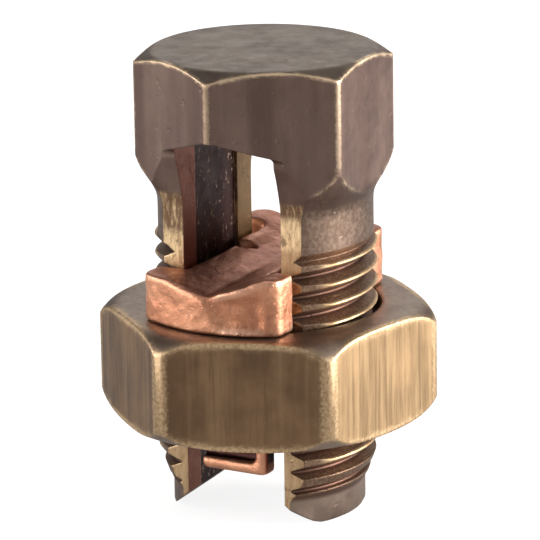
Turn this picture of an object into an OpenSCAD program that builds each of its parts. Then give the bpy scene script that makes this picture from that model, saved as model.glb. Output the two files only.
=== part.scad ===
// Split bolt connector: a hex-headed bolt with a slotted, threaded shank,
// a hex nut, and a pressure bar that clamps wires in the slot.
// +Z runs up the bolt's axis, Y runs along the wires, and the origin is
// at the centre of the leg ends. All sizes are in millimetres.

/* [Head] */
// Hex head, across the flats
head_af = 15.9; // [15:0.1:20]
// Straight hex part of the head at its corners, chamfer included
head_h = 7.2; // [5:0.1:10]
// Flat round field on top of the head, diameter
head_field_d = 15.5; // [12:0.1:15.6]
// Fall of the top chamfer at the corners
head_chamfer = 0.7; // [0.3:0.05:1.5]
// Height of the taper from the head down to the shank
cone_h = 3.2; // [2:0.1:5]

/* [Shank] */
// Length of the shank, from the leg ends to the taper
shank_h = 22.75; // [20:0.25:26]
// Plain shank between taper and thread, diameter
shank_d = 15.25; // [14.8:0.05:15.6]
// Plain length of the shank under the taper
plain_h = 2.6; // [1.5:0.1:5]

/* [Thread] */
// Thread diameter over the crests
thread_d = 15.7; // [15.6:0.05:15.8]
// Thread pitch
pitch = 1.411; // [1.2:0.001:1.6]
// Depth of the thread grooves
thread_depth = 0.95; // [0.5:0.05:1.0]
// Flat at the bottom of a groove
root_flat = 0.14; // [0.1:0.02:0.25]
// Unthreaded pilot at the leg ends, diameter
pilot_d = 13.7; // [13:0.1:13.8]
// Length of the pilot
pilot_h = 1.75; // [1:0.05:3]
// Length over which the crests taper in above the pilot
lead_h = 2.5; // [1.5:0.1:4]
// Edge break at the pilot's end
pilot_chamfer = 0.35; // [0.1:0.05:0.6]

/* [Slot] */
// Width of the slot between the legs
slot_w = 7.54; // [7:0.01:8]
// Height of the slot walls above the leg ends
slot_h = 27.05; // [24:0.05:27.5]
// Rise of the roof-shaped slot ceiling at its middle
ceiling_rise = 1.2; // [0.4:0.05:2]
// Legs, length along the wires over their flats
leg_l = 10.8; // [10:0.1:11]
// Height at which the leg flats start to run out
runout_z = 23.3; // [21:0.1:24]
// Radius of the run-out of the leg flats
runout_r = 6.5; // [4:0.5:10]
// Length of the as-forged recess in each slot wall
recess_l = 6.6; // [4:0.1:8]
// Depth of that recess
recess_d = 0.3; // [0.1:0.05:0.5]
// Width of the lead-in chamfer inside the leg ends
leadin_w = 2.05; // [1:0.05:2.4]
// Height of the lead-in chamfer
leadin_h = 1.6; // [0.8:0.1:2.4]
// Break at the outer corners of the legs
leg_corner = 0.3; // [0.1:0.05:0.5]

/* [Nut] */
// Hex nut, across the flats
nut_af = 21.2; // [20.5:0.1:24]
// Thickness of the nut
nut_h = 7.96; // [6:0.02:10]
// Height of the nut's underside above the leg ends
nut_z = 6.8; // [5:0.1:8]
// Turn of the nut at rest
nut_turn = 16.5; // [0:0.5:59.5]
// Corner rounding of the nut's upper side
nut_round_top = 2.12; // [1.5:0.02:2.4]
// Corner rounding of the nut's underside
nut_round_low = 2.3; // [1.5:0.02:2.6]
// How far the rounding reaches past the nut's corners
nut_round_over = 0.07; // [0.05:0.01:0.2]
// Running clearance of the nut's bore round the thread
nut_clear = 0.1; // [0.05:0.01:0.2]
// Countersink of the bore, at its mouth
nut_sink = 0.75; // [0.3:0.05:1.2]

/* [Pressure bar] */
// Bar, length over its round ends
bar_l = 18.9; // [17:0.1:20]
// Width of the ears outside the legs
ear_w = 10.5; // [9:0.1:12]
// Height of the bar at its higher side
bar_h = 4.1; // [3.5:0.1:5]
// Height of the bar at the bottom of its wire bed
bed_h = 2.7; // [2:0.1:3.2]
// Fall of the lower side below the higher one
low_side = 0.5; // [0:0.05:1]
// Side clearance between the bar's web and the slot walls
web_clear = 0.45; // [0.4:0.05:1]
// Clearance between the ears and the leg flats
ear_clear = 0.6; // [0.5:0.05:1]
// Corner radius of the ears
ear_r = 1.5; // [0.5:0.1:2.5]
// Turn of the bar within its play in the slot
bar_turn = -3; // [-3:0.25:3]
// Gap between the bar and the nut it sits on
seat_gap = 0.05; // [0.02:0.01:0.2]

/* [Tail prongs] */
// Width of the prongs under the bar
prong_w = 5.1; // [4:0.1:6]
// Thickness of the prongs
prong_t = 1.0; // [0.8:0.1:1.5]
// Reach of the prongs' outer faces from the middle
prong_y = 4.7; // [4:0.1:4.8]
// How far the prongs reach below the nut
prong_out = 3.45; // [2:0.05:4.5]
// Height of the lip at a prong's end
lip_h = 0.8; // [0.5:0.1:1.5]
// How far the lip stands out
lip_out = 0.7; // [0.3:0.1:0.9]

/* [Hidden] */
$fn = 96;

head_rc = head_af / sqrt(3);
total_h = shank_h + cone_h + head_h;
thread_r = thread_d / 2;
root_r = thread_r - thread_depth;
thread_top = shank_h - plain_h;
thread_low = pilot_h + 0.35;
groove_slope = tan(30);
groove_w = root_flat + 2 * thread_depth * groove_slope;
lead_angle = atan(pitch / (PI * (thread_d - thread_depth)));
grooves = floor((thread_top - thread_low - groove_w / 2 - pitch / 4) / pitch);
top_groove = thread_top - groove_w / 2;
bore_r = thread_r + nut_clear;
nut_rc = nut_af / sqrt(3);
nut_top = nut_z + nut_h;
bar_z = nut_top + seat_gap;
web_w = slot_w - 2 * web_clear;
ear_y = leg_l / 2 + ear_clear;
bar_r = bar_l / 2;
over = 0.5;

// Hexagon whose corners lie on the Y axis
module hex(rc, h) rotate([0, 0, 30]) cylinder(r = rc, h = h, $fn = 6);

// Head, taper and shank as one turned and hexagonal blank
module head() {
    fall = head_chamfer / (head_rc - head_field_d / 2);
    rise = cone_h / (head_rc - shank_d / 2);
    intersection() {
        translate([0, 0, shank_h]) hex(head_rc, cone_h + head_h);
        rotate_extrude() polygon([
            [0, shank_h],
            [shank_d / 2, shank_h],
            [head_rc + over, shank_h + cone_h + over * rise],
            [head_rc + over, total_h - head_chamfer - over * fall],
            [head_field_d / 2, total_h],
            [0, total_h]]);
    }
}

module shank() rotate_extrude() polygon([
    [0, 0],
    [pilot_d / 2 - pilot_chamfer, 0],
    [pilot_d / 2, pilot_chamfer],
    [pilot_d / 2, pilot_h],
    [pilot_d / 2 + 0.35, thread_low],
    [thread_r, pilot_h + lead_h],
    [thread_r, thread_top],
    [shank_d / 2, thread_top + (thread_r - shank_d / 2)],
    [shank_d / 2, shank_h + 0.01],
    [0, shank_h + 0.01]]);

// One turn of the thread groove along one leg. The leg side is 1 or -1,
// and the ring leans by the lead angle so that the turns join across the slot.
module groove(side, z) {
    deep = thread_depth + over;
    mouth = root_flat + 2 * deep * groove_slope;
    translate([0, 0, z + side * pitch / 4])
        rotate([side * lead_angle, 0, 0])
            rotate([0, 0, side * 90 - 180])
                rotate_extrude(angle = 180) polygon([
                    [root_r, -root_flat / 2],
                    [root_r + deep, -mouth / 2],
                    [root_r + deep, mouth / 2],
                    [root_r, root_flat / 2]]);
}

// Slot with its roof-shaped ceiling, seen along Y
module slot() rotate([90, 0, 0])
    linear_extrude(head_af * 2, center = true) polygon([
        [-slot_w / 2, -1],
        [slot_w / 2, -1],
        [slot_w / 2, slot_h],
        [0, slot_h + ceiling_rise],
        [-slot_w / 2, slot_h]]);

// Lead-in chamfers inside the leg ends
module lead_in() rotate([90, 0, 0])
    linear_extrude(head_af * 2, center = true) polygon([
        [-slot_w / 2 - leadin_w * (1 + 1 / leadin_h), -1],
        [slot_w / 2 + leadin_w * (1 + 1 / leadin_h), -1],
        [slot_w / 2, leadin_h],
        [-slot_w / 2, leadin_h]]);

// Material outside one leg flat: it runs out in a curve under the head
module flat_cut(x, y) {
    far = head_af;
    translate([x > 0 ? slot_w / 2 : -slot_w / 2 - far, 0, 0]) rotate([90, 0, 90])
        linear_extrude(far) scale([y, 1]) intersection() {
            union() {
                translate([leg_l / 2, -1]) square([far, runout_z + 1]);
                translate([leg_l / 2 + runout_r, runout_z]) circle(runout_r);
            }
            translate([0, -1]) square([far, slot_h + 1]);
        }
}

// Break at an outer corner of a leg, so the crests end short of the flat
module corner_cut(x, y) {
    corner_x = sqrt(thread_r * thread_r - leg_l * leg_l / 4);
    a = atan2(leg_l / 2, corner_x);
    rotate([0, 0, x > 0 ? y * a : 180 - y * a])
        translate([thread_r - leg_corner, -2, -1]) cube([4, 4, thread_top + 1.4]);
}

module split_bolt() color("#6d5a47") difference() {
    union() {
        head();
        shank();
    }
    slot();
    lead_in();
    translate([-slot_w / 2 - recess_d, -recess_l / 2, -1])
        cube([slot_w + 2 * recess_d, recess_l, slot_h]);
    for (x = [-1, 1], y = [-1, 1]) {
        flat_cut(x, y);
        corner_cut(x, y);
    }
    for (side = [-1, 1], i = [0 : grooves])
        groove(side, top_groove - i * pitch);
}

module hex_nut() color("#a98a5c") translate([0, 0, nut_z]) difference() {
    rc = nut_rc + nut_round_over;
    intersection() {
        rotate([0, 0, nut_turn]) cylinder(r = nut_rc, h = nut_h, $fn = 6);
        rotate_extrude() union() {
            square([rc - nut_round_top, nut_h]);
            square([rc - nut_round_low, nut_h]);
            translate([0, nut_round_low])
                square([rc, nut_h - nut_round_top - nut_round_low]);
            translate([rc - nut_round_low, nut_round_low]) circle(nut_round_low);
            translate([rc - nut_round_top, nut_h - nut_round_top]) circle(nut_round_top);
        }
    }
    translate([0, 0, -1]) cylinder(r = bore_r, h = nut_h + 2);
    for (z = [0, 1]) translate([0, 0, z * nut_h]) mirror([0, 0, z])
        translate([0, 0, -0.5])
            cylinder(r1 = bore_r + nut_sink + 0.5, r2 = bore_r - 0.01, h = nut_sink + 0.51);
}

// Outline of the bar from above: round ends, ears outside the legs, web between
module bar_plan() {
    cx = ear_w / 2 - ear_r;
    cy = sqrt(pow(bar_r - ear_r, 2) - cx * cx);
    difference() {
        union() {
            intersection() {
                circle(bar_r);
                union() for (s = [-1, 1])
                    polygon([[0, 0], [cx * 3, s * cy * 3], [-cx * 3, s * cy * 3]]);
            }
            square([ear_w, 2 * cy], center = true);
            for (x = [-1, 1], y = [-1, 1]) translate([x * cx, y * cy]) circle(ear_r);
        }
        for (x = [-1, 1])
            translate([x * (web_w / 2 + bar_l / 2), 0])
                square([bar_l, 2 * ear_y], center = true);
    }
}

module prong(y) scale([1, y, 1]) {
    drop = bar_z - nut_z + prong_out;
    translate([-prong_w / 2, prong_y - prong_t, -drop]) cube([prong_w, prong_t, drop + 1]);
    translate([-prong_w / 2, prong_y - 0.2, -drop]) cube([prong_w, lip_out + 0.2, lip_h]);
}

module pressure_bar() color("#c58562") translate([0, 0, bar_z]) {
    difference() {
        rotate([0, 0, bar_turn]) linear_extrude(bar_h) bar_plan();
        rotate([90, 0, 0]) linear_extrude(bar_l * 2, center = true) polygon([
            [0, bed_h],
            [slot_w, 2 * bar_h - bed_h],
            [-bar_l, 2 * bar_h - bed_h],
            [-bar_l, bar_h - low_side],
            [-slot_w / 2, bar_h - low_side]]);
    }
    rotate([0, 0, bar_turn]) for (y = [-1, 1]) prong(y);
}

split_bolt();
hex_nut();
pressure_bar();
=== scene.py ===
"""Split bolt connector: dark bronze bolt, brushed brass nut and copper pressure bar."""

import math

import bmesh
import bpy
from mathutils import Matrix, Vector, noise


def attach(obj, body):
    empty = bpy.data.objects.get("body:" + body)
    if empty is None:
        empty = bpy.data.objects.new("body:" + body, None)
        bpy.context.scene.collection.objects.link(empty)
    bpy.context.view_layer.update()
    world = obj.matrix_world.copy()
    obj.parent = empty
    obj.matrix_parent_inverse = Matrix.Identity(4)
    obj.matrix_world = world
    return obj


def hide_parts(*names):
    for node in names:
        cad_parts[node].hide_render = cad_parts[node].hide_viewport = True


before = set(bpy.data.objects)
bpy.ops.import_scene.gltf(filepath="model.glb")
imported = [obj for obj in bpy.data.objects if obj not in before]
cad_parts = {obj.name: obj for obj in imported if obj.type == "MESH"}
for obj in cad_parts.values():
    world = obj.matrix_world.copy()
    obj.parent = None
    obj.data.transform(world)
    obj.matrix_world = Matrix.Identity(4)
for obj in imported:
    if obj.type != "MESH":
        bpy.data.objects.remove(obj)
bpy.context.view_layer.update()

MM = 0.001
TURN = 2 * math.pi

# Sizes of the connector in millimetres, from the leg ends up
PITCH = 1.411
THREAD_R = 7.85
ROOT_R = 6.9
THREAD_TOP = 19.95
FIRST_CREST = 18.82
SHANK_R = 7.61
LEG_FLAT = 5.42
LEG_CORNER = 0.26
SLOT_HALF = 3.77
SLOT_SPRING = 27.05
SLOT_APEX = 28.3
RECESS = 0.3
HEAD_AF = 15.9
HEAD_TOP = 33.15
HEAD_FIELD_R = 7.75
HEAD_CORNER_FALL = 0.8
NUT_AF = 21.2
NUT_LOW = 6.8
NUT_TOP = 14.76
NUT_TURN = 16.5
THREAD_PLAY = 0.07
BAR_BASE = 14.81
BAR_THICK = 4.1
BAR_BED = 2.66
BAR_REACH = 9.5
BAR_EAR_X = 5.36
BAR_EAR_R = 1.0
BAR_SHOULDER_Y = 5.86
BAR_TURN = -3.0
PRONG_BELOW_NUT = 3.28
PRONG_HALF = 2.55
PRONG_Y = (3.7, 4.7)
LIP_HALF = 2.62
LIP_Y = (4.5, 5.4)
LIP_HIGH = 0.98
SIDE_WALL_X = (1.72, 2.62)

# Cutting tools are this long, to reach past the piece at both ends
BEYOND = 24


# ---------------------------------------------------------------- shop tools

def piece_from(bm, name):
    """Turns finished mesh work into an object."""
    bmesh.ops.remove_doubles(bm, verts=bm.verts, dist=1e-4)
    bmesh.ops.recalc_face_normals(bm, faces=bm.faces)
    mesh = bpy.data.meshes.new(name)
    bm.to_mesh(mesh)
    bm.free()
    piece = bpy.data.objects.new(name, mesh)
    bpy.context.scene.collection.objects.link(piece)
    return piece


def turned(name, profile, steps=144):
    """A solid turned about Z from its half profile of radius and height."""
    bm = bmesh.new()
    verts = [bm.verts.new((r, 0, z)) for r, z in profile]
    edges = [bm.edges.new(pair) for pair in zip(verts, verts[1:])]
    bmesh.ops.spin(bm, geom=verts + edges, cent=(0, 0, 0), axis=(0, 0, 1),
                   angle=TURN, steps=steps, use_merge=True)
    return piece_from(bm, name)


def bar_stock(name, outline, axis, length):
    """Bar stock with one outline, as long as given and centred on its axis."""
    bm = bmesh.new()
    place = {"X": lambda a, b: (-length / 2, a, b),
             "Y": lambda a, b: (a, -length / 2, b),
             "Z": lambda a, b: (a, b, -length / 2)}[axis]
    face = bm.faces.new([bm.verts.new(place(a, b)) for a, b in outline])
    far = bmesh.ops.extrude_face_region(bm, geom=[face])["geom"]
    shift = {"X": (length, 0, 0), "Y": (0, length, 0), "Z": (0, 0, length)}[axis]
    bmesh.ops.translate(bm, vec=shift,
                        verts=[g for g in far if isinstance(g, bmesh.types.BMVert)])
    return piece_from(bm, name)


def block(name, low, high):
    """A squared block between two corners."""
    bm = bmesh.new()
    bmesh.ops.create_cube(bm, size=1)
    low, high = Vector(low), Vector(high)
    bmesh.ops.scale(bm, vec=high - low, verts=bm.verts)
    bmesh.ops.translate(bm, vec=(low + high) / 2, verts=bm.verts)
    return piece_from(bm, name)


def eased(piece, offset, segments, chosen=None):
    """Rounds a piece's edges, or the chosen ones."""
    bm = bmesh.new()
    bm.from_mesh(piece.data)
    edges = [e for e in bm.edges if chosen is None or chosen(e)]
    bmesh.ops.bevel(bm, geom=edges, offset=offset, segments=segments, profile=0.5,
                    affect="EDGES", material=-1)
    bm.to_mesh(piece.data)
    bm.free()
    return piece


def hex_bar(name, across_flats, low, high, turn, rounding):
    """Hexagon bar with rounded corners. At no turn a corner points along -Y."""
    bm = bmesh.new()
    radius = across_flats / math.sqrt(3)
    bmesh.ops.create_cone(bm, cap_ends=True, segments=6, radius1=radius,
                          radius2=radius, depth=high - low)
    bmesh.ops.rotate(bm, verts=bm.verts, cent=(0, 0, 0),
                     matrix=Matrix.Rotation(math.radians(turn), 3, "Z"))
    bmesh.ops.translate(bm, vec=(0, 0, (low + high) / 2), verts=bm.verts)
    upright = [e for e in bm.edges
               if abs(e.verts[0].co.z - e.verts[1].co.z) > 1]
    bmesh.ops.bevel(bm, geom=upright, offset=rounding, offset_type="OFFSET",
                    segments=4, profile=0.5, affect="EDGES", material=-1)
    return piece_from(bm, name)


def threaded(name, root, crest, low, high, play=0.0, steps=96):
    """Right-hand threaded rod: one pitch of its profile, wound up the helix."""
    half = PITCH / 2
    upper = [(crest, 0.03 + play), (crest - 0.02, 0.075 + play),
             (crest - 0.10, 0.125 + play), (root + 0.03, half - 0.09 + play * 0.3),
             (root, half)]
    outline = [(r, -z) for r, z in reversed(upper)] + upper
    first = FIRST_CREST - PITCH * math.ceil((FIRST_CREST - low) / PITCH + 1)
    turns = math.ceil((high - first) / PITCH) + 1
    bm = bmesh.new()
    verts = [bm.verts.new((0, -r, first + z)) for r, z in outline]
    edges = [bm.edges.new(pair) for pair in zip(verts, verts[1:])]
    bmesh.ops.spin(bm, geom=verts + edges, cent=(0, 0, 0), axis=(0, 0, 1),
                   dvec=(0, 0, PITCH / steps), angle=TURN * turns,
                   steps=steps * turns, use_merge=False)
    bmesh.ops.remove_doubles(bm, verts=bm.verts, dist=1e-3)
    for z, up in ((high, 1), (low, -1)):
        cut = bmesh.ops.bisect_plane(
            bm, geom=bm.verts[:] + bm.edges[:] + bm.faces[:], dist=1e-4,
            plane_co=(0, 0, z), plane_no=(0, 0, up), clear_outer=True)
        rim = [g for g in cut["geom_cut"] if isinstance(g, bmesh.types.BMEdge)]
        bmesh.ops.edgeloop_fill(bm, edges=rim)
    return piece_from(bm, name)


def applied(piece):
    """Makes a piece's modifiers part of its mesh."""
    ready = piece.evaluated_get(bpy.context.evaluated_depsgraph_get())
    mesh = bpy.data.meshes.new_from_object(ready)
    piece.modifiers.clear()
    piece.data = mesh
    return piece


def shape(piece, tool, how="DIFFERENCE", solver="MANIFOLD"):
    """Cuts, joins or trims a piece with a tool, which is used up."""
    step = piece.modifiers.new("shape", "BOOLEAN")
    step.operation, step.object, step.solver = how, tool, solver
    applied(piece)
    bpy.data.objects.remove(tool)
    return piece


def smooth_curve(points, between=6):
    """A smooth line through points, for turned and milled profiles."""
    ends = [points[0]] + list(points) + [points[-1]]
    line = []
    for a, b, c, d in zip(ends, ends[1:], ends[2:], ends[3:]):
        for i in range(between):
            t = i / between
            line.append(tuple(
                0.5 * (2 * q + (r - p) * t + (2 * p - 5 * q + 4 * r - s) * t * t
                       + (3 * q - p - 3 * r + s) * t ** 3)
                for p, q, r, s in zip(a, b, c, d)))
    return line + [points[-1]]


def finished(piece, sharp=32):
    """Brings a piece to metres and shades it, with its corners kept sharp."""
    piece.data.transform(Matrix.Scale(MM, 4))
    piece.data.shade_smooth()
    piece.data.set_sharp_from_angle(angle=math.radians(sharp))
    return piece


# ---------------------------------------------------------------- split bolt

def forged_bolt():
    """Hex head with a waisted neck over two threaded legs."""
    neck = smooth_curve([
        (SHANK_R, 21.2), (SHANK_R, 22.2), (7.64, 22.7), (7.76, 23.2), (8.02, 23.75),
        (8.40, 24.35), (8.80, 25.0), (9.07, 25.65), (9.2, 26.3), (9.3, 27.0)])
    fall = HEAD_CORNER_FALL / (HEAD_AF / math.sqrt(3) - HEAD_FIELD_R)
    crown = [(9.6, HEAD_TOP - fall * (9.6 - HEAD_FIELD_R)),
             (HEAD_FIELD_R + 0.25, HEAD_TOP - 0.11),
             (HEAD_FIELD_R + 0.05, HEAD_TOP - 0.03),
             (HEAD_FIELD_R - 0.25, HEAD_TOP)]
    bolt = turned("bolt_body", [(0, 17.5), (6.4, 17.5), (6.6, 18.9), (7.1, 19.35),
                                (SHANK_R, 20.0)] + neck + crown + [(0, HEAD_TOP)])
    shape(bolt, threaded("rod", ROOT_R, THREAD_R, 0.0, THREAD_TOP), "UNION")
    # the pilot below the thread, the rounded leg ends and the shank's outside
    shape(bolt, turned("envelope", [
        (0, 0), (6.5, 0), (6.72, 0.12), (6.85, 0.35), (6.85, 1.9), (6.93, 2.15),
        (7.15, 2.5), (7.9, 4.6), (7.93, 6), (7.93, 22), (9.9, 24), (9.9, 34), (0, 34)]),
        "INTERSECT")
    shape(bolt, hex_bar("head_stock", HEAD_AF, -1, 35, 0, 0.26), "INTERSECT")
    shape(bolt, bar_stock("slot", [
        (-SLOT_HALF, -1), (SLOT_HALF, -1), (SLOT_HALF, SLOT_SPRING),
        (0.5, SLOT_APEX - 0.12), (0, SLOT_APEX - 0.06), (-0.5, SLOT_APEX - 0.12),
        (-SLOT_HALF, SLOT_SPRING)], "Y", BEYOND))
    shape(bolt, bar_stock("lead_in", [
        (-7.2, -1.07), (7.2, -1.07), (SLOT_HALF, 1.65), (-SLOT_HALF, 1.65)], "Y", BEYOND))
    shape(bolt, block("recess", (-SLOT_HALF - RECESS, -3.45, -1),
                      (SLOT_HALF + RECESS, 3.2, SLOT_SPRING + 0.1)))
    run_out = smooth_curve([
        (LEG_FLAT, 21.0), (LEG_FLAT, 22.2), (5.46, 23.1), (5.70, 24.15),
        (6.06, 25.35), (6.38, 26.2), (6.52, 26.8), (7.4, 27.3)])
    for side in (-1, 1):
        edge = [(side * y, z) for y, z in run_out]
        shape(bolt, bar_stock("flat", [(side * LEG_FLAT, -1)] + edge
                              + [(side * 12, 27.3), (side * 12, -1)], "X", BEYOND))
    # the crests end short of the flats
    reach = math.atan2(LEG_FLAT, math.sqrt(THREAD_R ** 2 - LEG_FLAT ** 2))
    for quarter in (reach, math.pi - reach, math.pi + reach, -reach):
        tool = block("corner", (THREAD_R - LEG_CORNER, -2, -1), (THREAD_R + 3, 2, 20.6))
        tool.data.transform(Matrix.Rotation(quarter, 4, "Z"))
        shape(bolt, tool)
    return finished(bolt)


# ------------------------------------------------------------------- hex nut

def arc(cx, cz, radius, start, end, steps=10):
    """Points round part of a circle, in degrees."""
    return [(cx + radius * math.cos(math.radians(start + (end - start) * i / steps)),
             cz + radius * math.sin(math.radians(start + (end - start) * i / steps)))
            for i in range(steps + 1)]


def brass_nut():
    """Hex nut with rounded ends and a thread that runs on the bolt's."""
    out = NUT_AF / math.sqrt(3) + 0.07
    low_round, top_round = 2.3, 2.12
    nut = turned("nut_body", [(0, NUT_LOW)]
                 + arc(out - low_round, NUT_LOW + low_round, low_round, -90, 0)
                 + arc(out - top_round, NUT_TOP - top_round, top_round, 0, 90)
                 + [(0, NUT_TOP)])
    # NUT_TURN is where a face points, half a face on from a corner
    shape(nut, hex_bar("nut_stock", NUT_AF, 5, 17, NUT_TURN + 30, 0.5), "INTERSECT")
    shape(nut, threaded("tap", ROOT_R + 0.12, THREAD_R + 0.09, 5, 17, play=THREAD_PLAY))
    for low, high, r_low, r_high in ((NUT_TOP - 1.3, NUT_TOP + 0.7, 7.1, 8.8),
                                     (NUT_LOW - 0.7, NUT_LOW + 1.1, 9.0, 7.1)):
        shape(nut, turned("countersink", [(0, low), (r_low, low), (r_high, high),
                                          (0, high)]))
    return finished(nut)


# -------------------------------------------------------------- pressure bar

def ease(value, low, high):
    """From 0 to 1 between two values, softly."""
    t = min(1.0, max(0.0, (value - low) / (high - low)))
    return t * t * (3 - 2 * t)


def hammered(co):
    """Where the point of a plain copper bar goes on the real, swaged one."""
    x, y, z = co
    top = ease(z, 16.0, 18.6)
    # the near end sags on the left, and the far end rises, most on its left
    z -= top * 0.14 * ease(-x, 1.0, 4.5) * ease(-y, -9.0, 2.0)
    z += top * 0.42 * ease(y, 3.0, 8.0)
    z += top * 0.25 * ease(y, -1.0, 8.0) * ease(-x, 1.0, 4.0)
    z -= top * 0.35 * ease(y, 0.0, 8.0) * ease(x, 1.5, 4.5)
    # a rolled lap on the bed, its edge lifted over a hollow
    lap = 2.1 + 0.14 * math.sin(x * 2.6) + 0.10 * (x + 2.4)
    here = ease(z, 16.6, 17.6) * ease(x, -4.6, -3.7) * (1 - ease(x, -2.4, -1.6))
    lift = ease(y, lap - 0.05, lap + 0.12) * (1 - ease(y, lap + 0.9, lap + 4.0))
    hollow = ease(y, lap - 0.5, lap - 0.1) * (1 - ease(y, lap - 0.1, lap + 0.1))
    z += here * 0.36 * lift
    z -= here * 0.28 * hollow
    # the near left ear is pressed a little wider
    x -= 0.16 * ease(-x, 3.8, 4.8) * ease(-y, 6.2, 7.0)
    # a flat struck low on the near end, right of the middle
    if y < -6:
        slant = x + 0.45 * (z - 16.2)
        dent = ease(slant, -0.3, 1.3) * (1 - ease(x, 3.2, 4.3))
        dent *= ease(z, 14.8, 15.9) * (1 - ease(z, 16.9, 18.1))
        y += 0.34 * dent
    return Vector((x, y, z))


def copper_bar():
    """Pressure bar: wire bed on top, ears outside the legs, two tail prongs."""
    high = BAR_BASE + BAR_THICK
    corner_x = BAR_EAR_X - BAR_EAR_R
    corner = Vector((corner_x, -math.sqrt((BAR_REACH - BAR_EAR_R) ** 2 - corner_x ** 2)))
    lean = math.degrees(math.atan2(corner.y, corner.x))
    end_steps = 24
    near = (arc(0, 0, BAR_REACH, -180 - lean, lean, end_steps)
            + arc(corner.x, corner.y, BAR_EAR_R, lean, 0, 8)[1:]
            + [(BAR_EAR_X, -BAR_SHOULDER_Y), (3.32, -BAR_SHOULDER_Y)])
    near = [(-x, y) for x, y in reversed(near[end_steps + 1:])] + near
    bar = bar_stock("pressure_bar_body", near + [(-x, -y) for x, y in near], "Z", BAR_THICK)
    bar.data.transform(Matrix.Translation((0, 0, (BAR_BASE + high) / 2)))
    bar.data.transform(Matrix.Rotation(math.radians(BAR_TURN), 4, "Z"))
    # a shallow V, steeper on the right, with a flat shelf at the end of its left side
    bed = BAR_BASE + BAR_BED
    shape(bar, bar_stock("wire_bed", [
        (0, bed), (2 * SLOT_HALF, 2 * high - bed), (-19, 2 * high - bed),
        (-19, high - 0.5), (-SLOT_HALF, high - 0.5)], "Y", 40))
    low = NUT_LOW - PRONG_BELOW_NUT
    for end in (-1, 1):
        inner, outer = sorted(end * y for y in PRONG_Y)
        lip_in, lip_out = sorted(end * y for y in LIP_Y)
        wall_in, wall_out = sorted(-end * x for x in SIDE_WALL_X)
        prong = block("prong", (-PRONG_HALF, inner, low), (PRONG_HALF, outer, BAR_BASE + 1))
        lip = eased(block("lip", (-LIP_HALF, lip_in, low),
                          (LIP_HALF, lip_out, low + LIP_HIGH)), 0.4, 4)
        side_wall = eased(block("side_wall", (wall_in, lip_in, low),
                                (wall_out, lip_out, BAR_BASE)), 0.4, 4)
        for tool in (prong, lip, side_wall):
            tool.data.transform(Matrix.Rotation(math.radians(BAR_TURN), 4, "Z"))
            shape(bar, tool, "UNION", "EXACT")
    skin = bar.modifiers.new("skin", "REMESH")
    skin.mode, skin.voxel_size, skin.adaptivity = "VOXEL", 0.125, 0.0
    soft = bar.modifiers.new("soft", "SMOOTH")
    soft.factor, soft.iterations = 0.6, 14
    applied(bar)
    # hammering has rounded the upper part more
    upper = bar.vertex_groups.new(name="upper")
    for v in bar.data.vertices:
        upper.add([v.index], ease(v.co.z, 15.0, 16.6), "REPLACE")
    worn = bar.modifiers.new("worn", "SMOOTH")
    worn.factor, worn.iterations, worn.vertex_group = 0.6, 26, "upper"
    applied(bar)
    bar.vertex_groups.clear()
    bm = bmesh.new()
    bm.from_mesh(bar.data)
    bm.normal_update()
    for v in bm.verts:
        at, out = v.co.copy(), v.normal.copy()
        lumps = noise.noise(at * 0.55 + Vector((3, 7, 1))) * 0.09
        lumps += noise.noise(at * 1.5) * 0.035
        grain = noise.noise(at * 4.0) * 0.012
        # no lumps where the bar runs beside the legs, or on its base and prongs
        beside_leg = abs(at.y) < 6.2 and abs(at.x) > 3.0
        fitted = 1.0 if beside_leg or at.z < BAR_BASE + 0.15 else 0.0
        v.co = hammered(at) + out * (lumps + grain) * (1 - fitted)
    bm.to_mesh(bar.data)
    bm.free()
    return finished(bar, 180)


# ------------------------------------------------------------------ finishes

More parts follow.
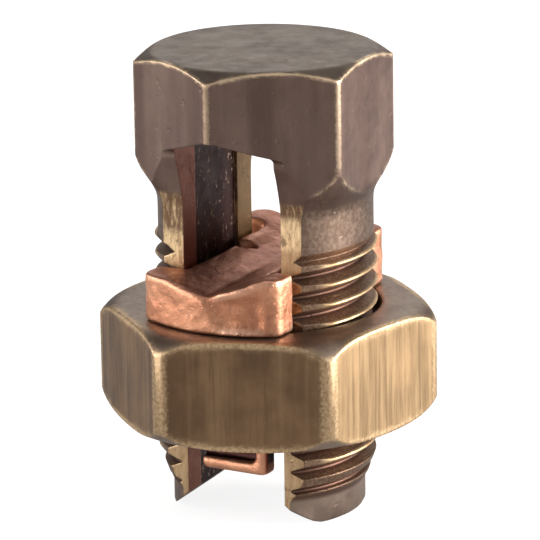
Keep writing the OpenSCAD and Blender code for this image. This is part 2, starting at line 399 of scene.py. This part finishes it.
class Finish:
    """A metal finish mixed from nodes, one step at a time."""

    def __init__(self, name):
        self.material = bpy.data.materials.new(name)
        self.material.use_nodes = True
        self.tree = self.material.node_tree
        self.tree.nodes.clear()
        self.out = self.tree.nodes.new("ShaderNodeOutputMaterial")
        self.metal = self.tree.nodes.new("ShaderNodeBsdfPrincipled")
        self.tree.links.new(self.metal.outputs[0], self.out.inputs[0])
        self.place = self.tree.nodes.new("ShaderNodeTexCoord")
        self.at = self.place.outputs["Object"]
        self.facing = self.place.outputs["Normal"]

    def node(self, kind, inputs=(), **settings):
        """A new node with its settings, and its inputs fed."""
        made = self.tree.nodes.new("ShaderNode" + kind)
        for key, value in settings.items():
            setattr(made, key, value)
        for key, value in dict(inputs).items():
            self.feed(made.inputs[key], value)
        return made

    def feed(self, socket, value):
        """Links another node's output to a socket, or sets a plain value on it."""
        if isinstance(value, bpy.types.NodeSocket):
            self.tree.links.new(value, socket)
        elif hasattr(socket.default_value, "__len__") and len(socket.default_value) == 4:
            socket.default_value = tuple(value) + (1,) * (4 - len(value))
        else:
            socket.default_value = value

    def sum(self, how, a, b=0.0, clamp=False):
        return self.node("Math", {0: a, 1: b}, operation=how, use_clamp=clamp).outputs[0]

    def split(self, vector):
        return self.node("SeparateXYZ", {0: vector}).outputs

    def from_axis(self):
        """Distance from the bolt's axis."""
        x, y, _ = self.split(self.at)
        return self.sum("SQRT", self.sum("ADD", self.times(x, x), self.times(y, y)))

    def upright(self, length):
        """The place, drawn out along Z: a small number makes long upright lines."""
        return self.node("Mapping", {"Vector": self.at, "Scale": (1, 1, length)}).outputs[0]

    def grain(self, scale, detail, rough, at=None):
        return self.node("TexNoise", {
            "Vector": at or self.at, "Scale": scale, "Detail": detail,
            "Roughness": rough}).outputs["Fac"]

    def step(self, value, low, high, to=(0.0, 1.0)):
        """Goes softly between two results as a value goes from low to high."""
        return self.node("MapRange", {
            "Value": value, "From Min": low, "From Max": high,
            "To Min": to[0], "To Max": to[1]}, interpolation_type="SMOOTHSTEP").outputs[0]

    def past(self, length, low, high, to=(0.0, 1.0)):
        """The same step for a length, with its two ends in millimetres."""
        return self.step(length, low * MM, high * MM, to)

    def uneven(self, value, grain, amount):
        """A value that a grain breaks up, so that the line it draws wanders."""
        return self.sum("ADD", value, self.times(self.sum("SUBTRACT", grain, 0.5), amount))

    def mix(self, share, a, b):
        """The colour a, going to b as the share goes from 0 to 1."""
        made = self.node("Mix", data_type="RGBA")
        self.feed(made.inputs[0], share)
        self.feed(made.inputs[6], a)
        self.feed(made.inputs[7], b)
        return made.outputs[2]

    def facing_at(self, azimuth, nx, ny):
        """1 on a side face whose normal has that azimuth, 0 on its neighbours."""
        a = math.radians(azimuth)
        across = self.sum("ADD", self.times(nx, math.sin(a)), self.times(ny, -math.cos(a)))
        return self.step(across, 0.80, 0.93)

    def times(self, *values):
        total = values[0]
        for value in values[1:]:
            total = self.sum("MULTIPLY", total, value)
        return total

    def bump(self, height, depth, strength, normal=None):
        made = self.node("Bump", {"Height": height, "Distance": depth,
                                  "Strength": strength})
        if normal is not None:
            self.feed(made.inputs["Normal"], normal)
        return made.outputs[0]

    def rounded(self, radius):
        return self.node("Bevel", {"Radius": radius * MM}, samples=6).outputs[0]

    def ridges(self, reach):
        """How near a convex corner is: 0 on flats, up to 1 on the corner."""
        depth = self.node("AmbientOcclusion", {"Distance": reach * MM}, samples=8,
                          inside=True, only_local=True).outputs["AO"]
        return self.sum("SUBTRACT", 1.0, depth, clamp=True)

    def hollows(self, reach):
        """How deep in a corner or groove a point is."""
        depth = self.node("AmbientOcclusion", {"Distance": reach * MM}, samples=8,
                          only_local=True).outputs["AO"]
        return self.sum("SUBTRACT", 1.0, depth, clamp=True)

    def done(self, colour, roughness, normal):
        self.feed(self.metal.inputs["Base Color"], colour)
        self.feed(self.metal.inputs["Roughness"], roughness)
        self.feed(self.metal.inputs["Normal"], normal)
        self.metal.inputs["Metallic"].default_value = 1.0
        return self.material


def bronze():
    """Dark brown patina on the head, bare gold on milled flats and worn corners."""
    f = Finish("aged_bronze")
    x, y, z = f.split(f.at)
    nx, ny, nz = f.split(f.facing)
    radius = f.from_axis()
    side_x, side_y = f.sum("ABSOLUTE", x), f.sum("ABSOLUTE", y)
    cloud = f.grain(260, 5, 0.62)
    streaks = f.grain(900, 4, 0.7, f.upright(0.05))
    broad = f.grain(330, 3, 0.5, f.upright(0.12))
    fine = f.grain(5200, 3, 0.7)
    specks = f.grain(3000, 2, 0.5)
    dark_gold, pale_gold, soil = (0.46, 0.29, 0.15), (0.97, 0.71, 0.42), (0.17, 0.10, 0.06)

    patina = f.mix(f.step(broad, 0.35, 0.68), (0.150, 0.096, 0.078), (0.225, 0.152, 0.122))
    patina = f.mix(f.times(f.step(streaks, 0.56, 0.78), 0.30), patina, (0.34, 0.245, 0.19))
    patina = f.mix(f.times(f.step(cloud, 0.5, 0.75), 0.5), patina, (0.125, 0.072, 0.062))
    # head's field, rubbed grey
    top = f.times(f.step(nz, 0.75, 0.95), f.past(z, 32.0, 32.6))
    patina = f.mix(top, patina, f.mix(f.step(cloud, 0.36, 0.66),
                                      (0.235, 0.185, 0.142), (0.165, 0.122, 0.095)))
    # dark waist, then the frosted band above the thread
    outside = f.sum("MAXIMUM", f.past(radius, 7.4, 7.55),
                    f.times(f.past(radius, 7.2, 7.5), f.past(side_y, 5.9, 5.3)))
    band = f.times(f.past(z, 23.25, 22.95), f.past(z, 19.6, 20.0), outside)
    waist = f.times(f.past(z, 22.7, 23.2), f.past(z, 24.6, 23.5),
                    f.past(radius, 7.3, 7.5))
    patina = f.mix(f.times(waist, 0.55), patina, (0.115, 0.075, 0.058))
    frost = f.mix(f.step(specks, 0.36, 0.70), (0.135, 0.088, 0.064), (0.205, 0.143, 0.106))
    colour = f.mix(band, patina, frost)

    # thread: brown flanks, dark roots, rubbed crests
    on_thread = f.times(f.past(z, 20.1, 19.95), f.past(side_x, 3.8, 3.85))
    flank = f.mix(f.step(fine, 0.4, 0.65), (0.17, 0.10, 0.066), (0.29, 0.19, 0.125))
    flank = f.mix(f.past(radius, 7.3, 6.95), flank, (0.125, 0.068, 0.048))
    colour = f.mix(on_thread, colour, flank)
    pilot = f.past(z, 2.3, 1.8)
    colour = f.mix(f.times(on_thread, pilot), colour, f.mix(
        f.step(cloud, 0.35, 0.65), (0.17, 0.115, 0.09), (0.28, 0.205, 0.16)))
    crest = f.times(on_thread, f.past(radius, 7.62, 7.8))
    gold = f.mix(f.step(streaks, 0.35, 0.65), (0.52, 0.34, 0.175), (0.80, 0.58, 0.34))
    colour = f.mix(f.times(crest, 0.85), colour, gold)

    # milled flats at the leg sides
    milled = f.times(f.step(f.sum("ABSOLUTE", ny), 0.93, 0.985),
                     f.past(side_x, 3.70, 3.78), f.past(z, 25.6, 24.2),
                     f.past(side_y, 5.6, 5.5))
    scour = f.grain(2600, 4, 0.8, f.upright(0.22))
    # the soil reaches 1.7 mm lower on the left leg
    above = f.sum("SUBTRACT", z, f.past(x, -1, 1, (0.0, 1.7 * MM)))
    soiled = f.times(f.past(above, 20.4, 21.2), f.step(scour, 0.72, 0.45, (0.35, 1.0)))
    flat_gold = f.mix(f.step(scour, 0.30, 0.62), dark_gold, pale_gold)
    flat_gold = f.mix(f.past(above, 18.9, 18.2, (0.0, 0.62)), flat_gold,
                      (0.33, 0.20, 0.105))
    flat_gold = f.mix(soiled, flat_gold, (0.20, 0.115, 0.066))
    spots = f.step(f.grain(800, 4, 0.7), 0.56, 0.66)
    flat_gold = f.mix(f.times(spots, 0.7), flat_gold, soil)
    colour = f.mix(f.times(milled, 0.95), colour, flat_gold)

    # slot walls: reddish lands, dark pitted recess, one bright land
    wall = f.times(f.step(f.sum("ABSOLUTE", nx), 0.9, 0.98), f.past(side_x, 4.3, 4.2))
    recess = f.past(side_x, 3.9, 3.98)
    land = f.mix(f.past(y, 2.8, 3.1), (0.43, 0.185, 0.13), (0.17, 0.105, 0.052))
    pits = f.step(f.grain(2300, 5, 0.7, f.upright(0.7)), 0.575, 0.63)
    floor_of_recess = f.mix(f.step(broad, 0.3, 0.7),
                            (0.055, 0.029, 0.027), (0.095, 0.056, 0.050))
    floor_of_recess = f.mix(f.times(pits, 0.8), floor_of_recess, (0.50, 0.35, 0.29))
    colour = f.mix(wall, colour, f.mix(recess, land, floor_of_recess))

    # rubbed corners of the head
    worn = f.uneven(f.ridges(0.34), f.grain(1500, 3, 0.6), 0.35)
    worn = f.times(f.step(worn, 0.07, 0.20), f.past(z, 22.5, 23.5))
    worn = f.times(worn, f.sum("MAXIMUM", f.past(z, 28.3, 28.9), f.past(side_x, 6.0, 6.6)))
    arris = f.uneven(radius, fine, 0.22 * MM)
    worn = f.sum("MAXIMUM", worn, f.times(
        f.past(arris, 9.03, 9.08), f.past(z, 26.1, 26.4), 0.35))
    colour = f.mix(f.times(worn, 0.95), colour, (0.84, 0.62, 0.41))

    roughness = f.step(f.grain(700, 4, 0.65), 0.3, 0.7, (0.40, 0.54))
    rounding = f.rounded(0.16)
    height = f.sum("ADD", f.times(streaks, 0.35), f.sum("ADD", f.times(fine, 0.35),
                   f.times(pits, f.times(wall, -1.2))))
    dings = f.step(f.grain(1500, 2, 0.4), 0.66, 0.78)
    height = f.sum("ADD", height, f.times(dings, -0.8))
    return f.done(colour, roughness, f.bump(height, 0.045 * MM, 0.6, rounding))


def brass():
    """Nut: upright brush lines on six faces, tan and brown, corners rubbed gold."""
    f = Finish("brushed_brass")
    nx, ny, nz = f.split(f.facing)
    radius = f.from_axis()
    lines = f.grain(2600, 3, 0.75, f.upright(0.035))
    wide_lines = f.grain(700, 3, 0.6, f.upright(0.06))
    cloud = f.grain(240, 4, 0.6)
    fine = f.grain(4200, 3, 0.7)
    side = f.step(f.sum("ABSOLUTE", nz), 0.35, 0.15)

    face = f.mix(f.step(cloud, 0.33, 0.7), (0.165, 0.098, 0.056), (0.275, 0.165, 0.09))
    face = f.mix(f.times(f.step(wide_lines, 0.42, 0.66), 0.5), face, (0.36, 0.225, 0.125))
    face = f.mix(f.times(f.step(lines, 0.52, 0.70), 0.40), face, (0.14, 0.085, 0.048))
    # painted light: two faces, picked by the way they point, get lighter brushed colours, as
    # if more light fell on them
    painted_lit_faces = f.sum("MAXIMUM", f.facing_at(NUT_TURN + 60, nx, ny),
                  f.times(f.facing_at(NUT_TURN + 180, nx, ny), 0.8))
    face = f.mix(f.times(painted_lit_faces, 0.55), face, f.mix(f.step(lines, 0.34, 0.66),
                 (0.42, 0.275, 0.145), (0.56, 0.385, 0.205)))
    end = f.mix(f.step(cloud, 0.38, 0.66), (0.22, 0.155, 0.115), (0.34, 0.26, 0.20))
    end = f.mix(f.times(f.step(fine, 0.5, 0.7), 0.4), end, (0.15, 0.09, 0.06))
    colour = f.mix(side, end, face)

    # corners and rounded ends rubbed gold; the bore is painted dark as shade
    worn = f.uneven(f.ridges(0.75), f.grain(1300, 3, 0.6), 0.3)
    worn = f.times(f.step(worn, 0.08, 0.24), f.past(radius, 9.2, 10.0))
    arris = f.uneven(radius, fine, 0.25 * MM)
    worn = f.sum("MAXIMUM", worn, f.times(f.past(arris, 11.80, 12.0), 0.7))
    colour = f.mix(f.times(worn, 0.85), colour, f.mix(f.step(fine, 0.35, 0.6),
                   (0.50, 0.33, 0.18), (0.82, 0.58, 0.34)))
    # painted shade inside the bore and the inner countersinks
    bore = f.past(radius, 8.45, 8.15)
    colour = f.mix(f.times(bore, 0.85), colour, (0.05, 0.028, 0.02))

    roughness = f.sum("ADD", f.step(lines, 0.3, 0.7, (0.36, 0.48)),
                      f.times(f.step(cloud, 0.4, 0.7), 0.06))
    height = f.sum("ADD", f.times(lines, side), f.times(fine, 0.35))
    return f.done(colour, roughness, f.bump(height, 0.04 * MM, 0.55, f.rounded(0.3)))


def copper():
    """Pressure bar: satin pink copper, grainy and pitted, with painted shade in its hollows,
    on its wire bed and under the nut.
    """
    f = Finish("satin_copper")
    _, y, z = f.split(f.at)
    up = f.split(f.facing)[2]
    cloud = f.grain(300, 5, 0.62)
    grain = f.grain(3600, 4, 0.7)
    dust = f.grain(9000, 2, 0.6)
    base = f.mix(f.step(cloud, 0.34, 0.68), (0.56, 0.235, 0.132), (0.80, 0.385, 0.225))
    base = f.mix(f.times(f.step(grain, 0.5, 0.72), 0.35), base, (0.92, 0.55, 0.36))
    stains = f.step(f.grain(900, 4, 0.7), 0.58, 0.74)
    base = f.mix(f.times(stains, 0.6), base, (0.25, 0.085, 0.06))
    # painted shade: darker where the surface is hemmed in, in the bar's grooves and corners
    base = f.mix(f.times(f.step(f.hollows(1.6), 0.35, 0.9), 0.4), base, (0.26, 0.095, 0.07))

    # painted shade: the upward-facing wire bed is painted darker; painted shadow: the prongs
    # below the nut are painted dark
    bed = f.times(f.step(up, 0.55, 0.85), f.past(z, 15.6, 16.4))
    base = f.mix(f.times(bed, 0.6), base, f.mix(f.step(cloud, 0.35, 0.65),
                 (0.34, 0.135, 0.10), (0.50, 0.23, 0.17)))
    # painted shadow under the nut, on the prongs
    painted_shadow = f.times(f.past(z, 4.2, 4.5), f.past(z, 13.5, 12.0),
                    f.past(f.sum("ABSOLUTE", y), 5.15, 4.95))
    base = f.mix(f.times(painted_shadow, 0.96), base, (0.05, 0.02, 0.021))
    # edges rubbed bright, less on the bed and the prongs
    worn = f.times(f.step(f.ridges(0.8), 0.10, 0.40), f.sum("SUBTRACT", 1.0, painted_shadow),
                   f.step(bed, 1.0, 0.5, (0.35, 1.0)), f.past(z, 8, 13, (0.25, 1.0)))
    colour = f.mix(f.times(worn, 0.55), base, (0.97, 0.62, 0.44))
    roughness = f.step(grain, 0.3, 0.7, (0.36, 0.52))
    pock = f.step(f.grain(1700, 3, 0.55), 0.62, 0.72)
    height = f.sum("ADD", f.sum("ADD", f.times(grain, 1.1), f.times(dust, 0.6)),
                   f.times(pock, -0.7))
    return f.done(colour, roughness, f.bump(height, 0.05 * MM, 0.6))


# ------------------------------------------------------------------ assembly

def dress(piece, node, body, material):
    """Puts a finished piece in place of its plain one."""
    piece.data.materials.clear()
    piece.data.materials.append(material)
    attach(piece, body)
    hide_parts(node)


BRONZE, BRASS, COPPER = bronze(), brass(), copper()
for node, material in (("split_bolt", BRONZE), ("hex_nut", BRASS), ("pressure_bar", COPPER)):
    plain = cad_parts[node]
    plain.data.materials.clear()
    plain.data.materials.append(material)
dress(forged_bolt(), "split_bolt", "bolt", BRONZE)
dress(brass_nut(), "hex_nut", "nut", BRASS)
dress(copper_bar(), "pressure_bar", "bar", COPPER)


# --------------------------------------------------------- floor, light, view

# The floor's glow, where 1 is white
SEEN_BY_METAL = 0.25
MORE_FOR_CAMERA = 0.62
FLOOR_GREY = (0.38, 0.38, 0.38)
FLOOR_R = 5.0
ROOM_LIGHT = 0.2
LAMP_TARGET = (0, 0, 0.016)

# Name, azimuth and elevation in degrees, distance, width and height in metres, watts
LAMPS = (
    ("right_softbox", 107, 11, 0.42, 0.24, 0.20, 3.6),
    ("left_softbox", -66, 14, 0.45, 0.20, 0.24, 0.95),
    ("front_left_softbox", -32, 10, 0.45, 0.12, 0.20, 0.5),
    ("back_softbox", 200, 26, 0.50, 0.36, 0.20, 0.30),
    ("top_softbox", 20, 75, 0.50, 0.30, 0.30, 0.4),
)

# The view: azimuth, elevation and roll in degrees, then metres and the lens in mm
VIEW_TURNS = (25.991, 15.69, -0.907)
VIEW_HEIGHT = 0.017025
VIEW_DISTANCE = 0.296697
LENS = 279.65
SENSOR = 36
VIEW_SHIFT = 3.411 / 540


def pale_floor():
    """A wide white floor that keeps the connector's shadow.

    Metal and glass see it glow at SEEN_BY_METAL, less than the camera does.
    """
    bm = bmesh.new()
    bmesh.ops.create_circle(bm, cap_ends=True, segments=96, radius=FLOOR_R)
    floor = piece_from(bm, "floor")
    f = Finish("white_floor")
    path = f.node("LightPath").outputs
    seen = f.sum("MAXIMUM", path["Is Camera Ray"],
                 f.sum("MAXIMUM", path["Is Glossy Ray"], path["Is Transmission Ray"]))
    strength = f.sum("ADD", f.times(path["Is Camera Ray"], MORE_FOR_CAMERA),
                     f.times(seen, SEEN_BY_METAL))
    glow = f.node("Emission", {"Color": (1, 1, 1), "Strength": strength})
    matt = f.node("BsdfDiffuse", {"Color": FLOOR_GREY})
    both = f.node("AddShader", {0: glow.outputs[0], 1: matt.outputs[0]})
    f.tree.links.new(both.outputs[0], f.out.inputs[0])
    f.tree.nodes.remove(f.metal)
    floor.data.materials.append(f.material)


def softbox(name, azimuth, elevation, distance, width, height, power):
    """A soft lamp aimed at the connector's middle; azimuth runs from -Y to +X."""
    lamp = bpy.data.lights.new(name, "AREA")
    lamp.shape, lamp.size, lamp.size_y, lamp.energy = "RECTANGLE", width, height, power
    holder = bpy.data.objects.new(name, lamp)
    bpy.context.scene.collection.objects.link(holder)
    holder.visible_camera = False
    a, e = math.radians(azimuth), math.radians(elevation)
    back = Vector((math.sin(a) * math.cos(e), -math.cos(a) * math.cos(e), math.sin(e)))
    holder.matrix_world = (Matrix.Translation(Vector(LAMP_TARGET) + back * distance)
                           @ back.to_track_quat("Z", "Y").to_matrix().to_4x4())


def studio():
    """Even room light and the softboxes."""
    world = bpy.data.worlds.new("studio")
    bpy.context.scene.world = world
    world.use_nodes = True
    background = world.node_tree.nodes["Background"]
    background.inputs["Color"].default_value = (1, 1, 1, 1)
    background.inputs["Strength"].default_value = ROOM_LIGHT
    for lamp in LAMPS:
        softbox(*lamp)


def camera():
    """Long lens from the front right, a little above."""
    azimuth, elevation, roll = (math.radians(a) for a in VIEW_TURNS)
    back = Vector((math.sin(azimuth) * math.cos(elevation),
                   -math.cos(azimuth) * math.cos(elevation), math.sin(elevation)))
    right = Vector((math.cos(azimuth), math.sin(azimuth), 0))
    up = back.cross(right)
    across = right * math.cos(roll) + up * math.sin(roll)
    upward = up * math.cos(roll) - right * math.sin(roll)
    lens = bpy.data.cameras.new("view")
    lens.sensor_width, lens.lens = SENSOR, LENS
    lens.shift_x = VIEW_SHIFT
    lens.clip_start = 0.01
    holder = bpy.data.objects.new("view", lens)
    bpy.context.scene.collection.objects.link(holder)
    turn = Matrix((across, upward, back)).transposed().to_4x4()
    place = Vector((0, 0, VIEW_HEIGHT)) + back * VIEW_DISTANCE
    holder.matrix_world = Matrix.Translation(place) @ turn
    bpy.context.scene.camera = holder


pale_floor()
studio()
camera()
bpy.context.scene.view_settings.view_transform = "Standard"
